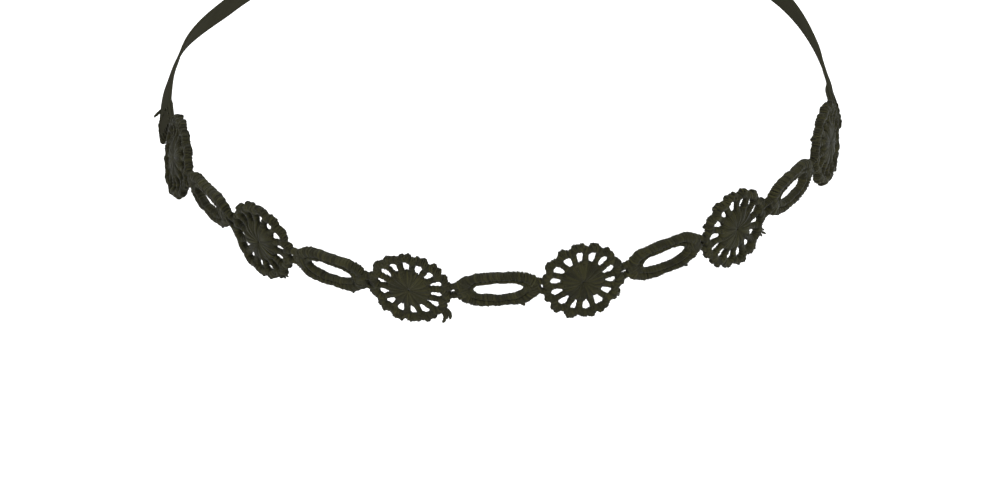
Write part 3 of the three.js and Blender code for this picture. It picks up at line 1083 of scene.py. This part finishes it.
class CHOKER_OT_links(bpy.types.Operator):
    """Make the five oval links and the bars that join them to the rosettes"""

    bl_idname = "choker.links"
    bl_label = "Oval links"

    def execute(self, context):
        sizes = context.scene.choker_lace
        for i, motif in enumerate(LINKS, start=1):
            runs = link_runs(sizes, np.random.default_rng(200 + i)) + joining_runs(motif, sizes)
            lace_piece(f"oval_link_{i}", motif, runs, context, 100 + 10 * i, False)
        return {"FINISHED"}


def station_value(rows, column, degrees):
    """A smooth value of one column of a ribbon's rows at these angles."""
    at = np.array([row.at for row in rows], float)
    values = np.array([getattr(row, column) for row in rows], float)
    after = np.clip(np.searchsorted(at, degrees), 1, len(rows) - 1)
    share = np.clip((degrees - at[after - 1]) / (at[after] - at[after - 1]), 0, 1)
    share = share * share * (3 - 2 * share)
    return values[after - 1] + share * (values[after] - values[after - 1])


def ribbon_points(rows, side, u, v, w):
    """Points of a ribbon in the row frame, from how far round, up and out of it they are."""
    degrees = np.degrees(np.abs(u) / NECK_LINE_RADIUS)
    lean = np.radians(station_value(rows, "lean", degrees))
    height = v * np.cos(lean) + w * np.sin(lean) - station_value(rows, "drop", degrees) * MM
    outward = w * np.cos(lean) - v * np.sin(lean) + station_value(rows, "out", degrees) * MM
    return bend(np.stack([side * u, height, outward], 1))


def sewn_end(rows, sizes):
    """Where a ribbon's sewn end is, along the band."""
    return math.radians(rows[0].at) * NECK_LINE_RADIUS - sizes.lap


def ribbon_line(rows, sizes):
    """The ribbon's middle line as u and w, from the clasp to the sewn end and back over it."""
    step, blend = sizes.rib_pitch / 3, 1.5 * MM
    sewn = sewn_end(rows, sizes)
    clasp = math.pi * NECK_LINE_RADIUS - (CLASP_LENGTH / 2 - POCKET_DEPTH + PIECE_GAP)
    turn = sizes.thickness * 0.56
    u = np.arange(clasp, sewn + turn, -step)
    under = np.clip((sewn + sizes.hem + blend - u) / blend, 0, 1)
    points = list(zip(u, -turn * under ** 2 * (3 - 2 * under)))
    points += [(sewn + turn - turn * math.sin(a), -turn * math.cos(a))
               for a in np.linspace(0, math.pi, 10)[1:]]
    points += [(u, turn) for u in np.arange(sewn + turn + step, sewn + sizes.hem, step)]
    return np.array(points)


def ribbon_mesh(name, rows, side, sizes, rng):
    """One layer of woven ribbon swept along its line, with ribs across it and a thicker selvedge."""
    line = ribbon_line(rows, sizes)
    along = distance_along(line)
    ahead = unit(np.gradient(line, axis=0))
    up = np.array([-1, -0.955, -0.86, -0.6, -0.3, 0, 0.3, 0.6, 0.86, 0.955, 1])
    thick = np.array([0.55, 1.12, 0.92, 0.86, 0.86, 0.86, 0.86, 0.86, 0.92, 1.12, 0.55])
    section_v = np.concatenate([up, up[::-1]]) * sizes.height / 2
    section_w = np.concatenate([thick, -thick[::-1]]) * sizes.thickness / 2
    groove = 0.5 - 0.5 * np.cos(TURN * along / sizes.rib_pitch)
    waver = np.interp(along, np.linspace(0, along[-1], 24), rng.uniform(-0.05, 0.05, 24) * MM)
    v = section_v + waver[:, None] * np.sign(section_v)
    w = section_w - np.sign(section_w) * (groove * sizes.rib_depth)[:, None]
    points = ribbon_points(rows, side, (line[:, :1] + ahead[:, 1:] * w).ravel(), v.ravel(),
                           (line[:, 1:] - ahead[:, :1] * w).ravel())
    about = np.concatenate([[0], np.cumsum(sum(
        np.abs(np.diff(np.append(section, section[0]))) for section in (section_v, section_w)))])
    faces, places = swept(along, about, order=-side)
    mesh = mesh_from(name, points, faces)
    write_map(mesh, CLOTH_MAP, places)
    # The last map has the ribbon cut into lengths that lie in rows.
    rows_of_map, margin, around = 10, 0.02, len(section_v)
    row = np.minimum(np.floor(along[:-1] / along[-1] * rows_of_map), rows_of_map - 1)
    row = np.concatenate([np.repeat(row, 4 * around), np.repeat((0, rows_of_map - 1), around)])
    u, v = (places / (along[-1], about[-1])).T
    write_map(mesh, BAKE_MAP, np.stack([
        u * rows_of_map - row, (row + margin + (1 - 2 * margin) * v) / rows_of_map], 1))
    mesh.shade_smooth()
    return mesh


def sewing_runs(rows, side, sizes, rng):
    """The threads that sew a ribbon's end: stitches round its folded hem, and longer ones over its edge
    into the rosette's rim."""
    sewn, face = sewn_end(rows, sizes), sizes.thickness * 1.06
    near, far = sewn + 0.6 * MM, sewn + sizes.hem - 0.55 * MM
    tall = sizes.height / 2 - 0.5 * MM
    corners = [(near, -tall), (near, tall), (far, tall), (far, -tall), (near, -tall)]
    stitch_along = np.array([0.12, 0.18, 0.32, 0.5, 0.68, 0.82, 0.88])
    stitch_rise = np.array([-0.12, 0.02, 0.09, 0.11, 0.09, 0.02, -0.12]) * MM
    runs = []
    for (u0, v0), (u1, v1) in zip(corners, corners[1:]):
        count = round(math.hypot(u1 - u0, v1 - v0) / (sizes.sewing_stitch * 1.35))
        for i in range(count):
            share = (i + stitch_along) / count
            v = v0 + (v1 - v0) * share + rng.uniform(-0.05, 0.05) * MM
            points = ribbon_points(rows, side, u0 + (u1 - u0) * share, v, face + stitch_rise)
            runs.append(twisted(points, 0.42))
    for height in np.linspace(-0.66, 0.7, 6) * sizes.height / 2:
        slip = rng.uniform(-0.2, 0.2, 2) * MM
        u = sewn + np.array([0.75, 0.62, 0.1, -0.35, -0.8, -0.95]) * MM
        w = face + np.array([-0.1, 0.08, 0.12, -0.05, -0.5, -1.1]) * MM
        points = ribbon_points(rows, side, u, height + np.linspace(*slip, 6), w)
        runs.append(twisted(points, 0.5))
    return runs


class CHOKER_OT_ribbons(bpy.types.Operator):
    """Make the two ribbons and the threads that sew them to the end rosettes"""

    bl_idname = "choker.ribbons"
    bl_label = "Ribbons"

    def execute(self, context):
        scene = context.scene
        sizes = scene.choker_ribbon
        cloth = ribbon_material("Ribbon cloth", scene.choker_finishes, sizes)
        for name, rows, side in (("ribbon_left", LEFT_RIBBON, -1), ("ribbon_right", RIGHT_RIBBON, 1)):
            rng = np.random.default_rng(side + 9)
            mesh = ribbon_mesh(name, rows, side, sizes, rng)
            mesh.materials.append(cloth)
            finish_piece(name + "_cloth", mesh, RIBBON_SLOT, name)
            runs = sewing_runs(rows, side, sizes, rng)
            if side < 0:
                u = math.radians(rows[0].at) * NECK_LINE_RADIUS + WISP[:, 0]
                runs.append(twisted(ribbon_points(rows, side, u, WISP[:, 1], WISP[:, 2]),
                                    np.array([1.15, 1.15, 1.0, 0.7])))
            finish_piece(name + "_stitching", embroidered(name + " sewing", runs, context, 7 + side),
                         THREAD_SLOT)
        return {"FINISHED"}


def clasp_section(half_height, half_thickness, corner=0.7 * MM):
    """A rounded rectangle in v and w, anticlockwise, with six points to a corner."""
    v, w = half_height - corner, half_thickness - corner
    return np.array([
        (middle_v + corner * math.cos(angle), middle_w + corner * math.sin(angle))
        for middle_v, middle_w, start in ((v, w, 0.0), (-v, w, 0.5), (-v, -w, 1.0), (v, -w, 1.5))
        for angle in np.linspace(start, start + 0.5, 6) * math.pi])


class CHOKER_OT_clasp(bpy.types.Operator):
    """Make the plain clasp with a pocket in each end for a ribbon"""

    bl_idname = "choker.clasp"
    bl_label = "Clasp"

    def execute(self, context):
        end, edge, groove = CLASP_LENGTH / 2, 0.45 * MM, 0.12 * MM

        def outside(inset):
            return clasp_section(CLASP_HALF_HEIGHT - inset, CLASP_HALF_THICKNESS - inset)

        pocket = clasp_section(POCKET_HALF_HEIGHT, POCKET_HALF_THICKNESS, 0.25 * MM)
        half = [(end - POCKET_DEPTH, pocket), (end - 0.12 * MM, pocket),
                (end - 0.02 * MM, pocket * (1.02, 1.06))]
        half += [(end - edge * (1 - math.cos(angle)), outside(edge * (1 - math.cos(math.pi / 2 - angle))))
                 for angle in np.linspace(0, math.pi / 2, 5)]
        half += [(end - inset * MM, outside(depth)) for inset, depth in (
            (1.6, 0), (1.75, groove), (2.0, groove), (2.15, 0))]
        rings = half + [(u * MM, outside(0)) for u in (2.0, 1.0, 0.0, -1.0, -2.0)]
        rings += [(-u, ring) for u, ring in half[::-1]]
        around = len(pocket)
        points = np.concatenate([
            np.column_stack([np.full(around, math.pi * NECK_LINE_RADIUS + u), ring]) for u, ring in rings])
        mesh = mesh_from("clasp", bend(points), swept(range(len(rings)), range(around + 1))[0])
        mesh.shade_smooth()
        mesh.materials.append(clasp_material("Clasp lacquer", context.scene.choker_finishes))
        finish_piece("clasp_body", mesh, CLASP_SLOT, "clasp")
        return {"FINISHED"}


# ---------------------------------------------------------------- stage


def area_light(name, place_at, aim, size, power):
    light = bpy.data.lights.new(name, "AREA")
    light.shape, light.size, light.energy = "DISK", size, power
    lamp = link_object(name, light)
    lamp.location = place_at
    lamp.rotation_euler = (Vector(aim) - Vector(place_at)).to_track_quat("-Z", "Y").to_euler()


class CHOKER_OT_stage(bpy.types.Operator):
    """Set up the pale floor, the soft light and the camera"""

    bl_idname = "choker.stage"
    bl_label = "Stage"

    def execute(self, context):
        scene, stage = context.scene, context.scene.choker_stage
        low, half = CAD_BOX[0].z - stage.floor_drop, 2.5
        floor = link_object("floor", mesh_from("floor", [
            (-half, -half, low), (half, -half, low), (half, half, low), (-half, half, low)], [(0, 1, 2, 3)]))
        floor.data.materials.append(paper_material("Pale floor"))

        world = bpy.data.worlds.new("Soft room")
        world.use_nodes = True
        connect(world.node_tree, world.node_tree.nodes["Background"], {0: (1.0, 1.0, 1.0, 1.0), 1: 1.0})
        scene.world = world
        middle = (CAD_BOX[0] + CAD_BOX[1]) / 2
        area_light("key light", (0.6, -1.0, 1.2), middle, 0.6, 30.0)
        area_light("fill light", (-0.9, -0.6, 0.7), middle, 0.9, 9.0)
        area_light("back light", (0.1, 1.2, 0.9), middle, 0.9, 5.0)
        scene.view_settings.view_transform = "Standard"

        camera = bpy.data.cameras.new("camera")
        camera.lens, camera.sensor_width = stage.lens, 36.0
        camera.clip_start, camera.clip_end = 0.05, 20.0
        eye = link_object("camera", camera)
        back = Vector((math.sin(stage.azimuth) * math.cos(stage.elevation),
                       -math.cos(stage.azimuth) * math.cos(stage.elevation), math.sin(stage.elevation)))
        level = (-back).to_track_quat("-Z", "Y").to_matrix()
        right, up = turned(level.col[0], level.col[1], stage.roll)
        eye.location = back * stage.distance
        forward = (-up * stage.aim_drop - right * stage.aim_left - eye.location).normalized()
        side = forward.cross(up).normalized()
        eye.rotation_euler = Matrix((side, side.cross(forward), -forward)).transposed().to_euler()
        scene.camera = eye
        return {"FINISHED"}


class VIEW3D_PT_choker(bpy.types.Panel):
    """The choker's sizes, colours and makers"""

    bl_label = "Choker"
    bl_space_type = "VIEW_3D"
    bl_region_type = "UI"
    bl_category = "Choker"

    def draw(self, context):
        for group in GROUPS:
            box = self.layout.box()
            for prop in GROUPS[group].__annotations__:
                box.prop(getattr(context.scene, group), prop)
        for maker in MAKERS:
            self.layout.operator(maker.bl_idname)


GROUPS = {"choker_lace": LaceSizes, "choker_ribbon": RibbonSizes, "choker_finishes": Finishes,
          "choker_stage": StageSizes}
MAKERS = (CHOKER_OT_rosettes, CHOKER_OT_links, CHOKER_OT_ribbons, CHOKER_OT_clasp, CHOKER_OT_stage)


def register():
    for made in (*GROUPS.values(), *MAKERS, VIEW3D_PT_choker):
        bpy.utils.register_class(made)
    for name, group in GROUPS.items():
        setattr(bpy.types.Scene, name, PointerProperty(type=group))


def unregister():
    for name in GROUPS:
        delattr(bpy.types.Scene, name)
    for made in (VIEW3D_PT_choker, *MAKERS[::-1], *reversed(GROUPS.values())):
        bpy.utils.unregister_class(made)


def main():
    register()
    bpy.ops.choker.rosettes()
    bpy.ops.choker.links()
    bpy.ops.choker.ribbons()
    bpy.ops.choker.clasp()
    bpy.ops.choker.stage()


if __name__ == "__main__":
    main()
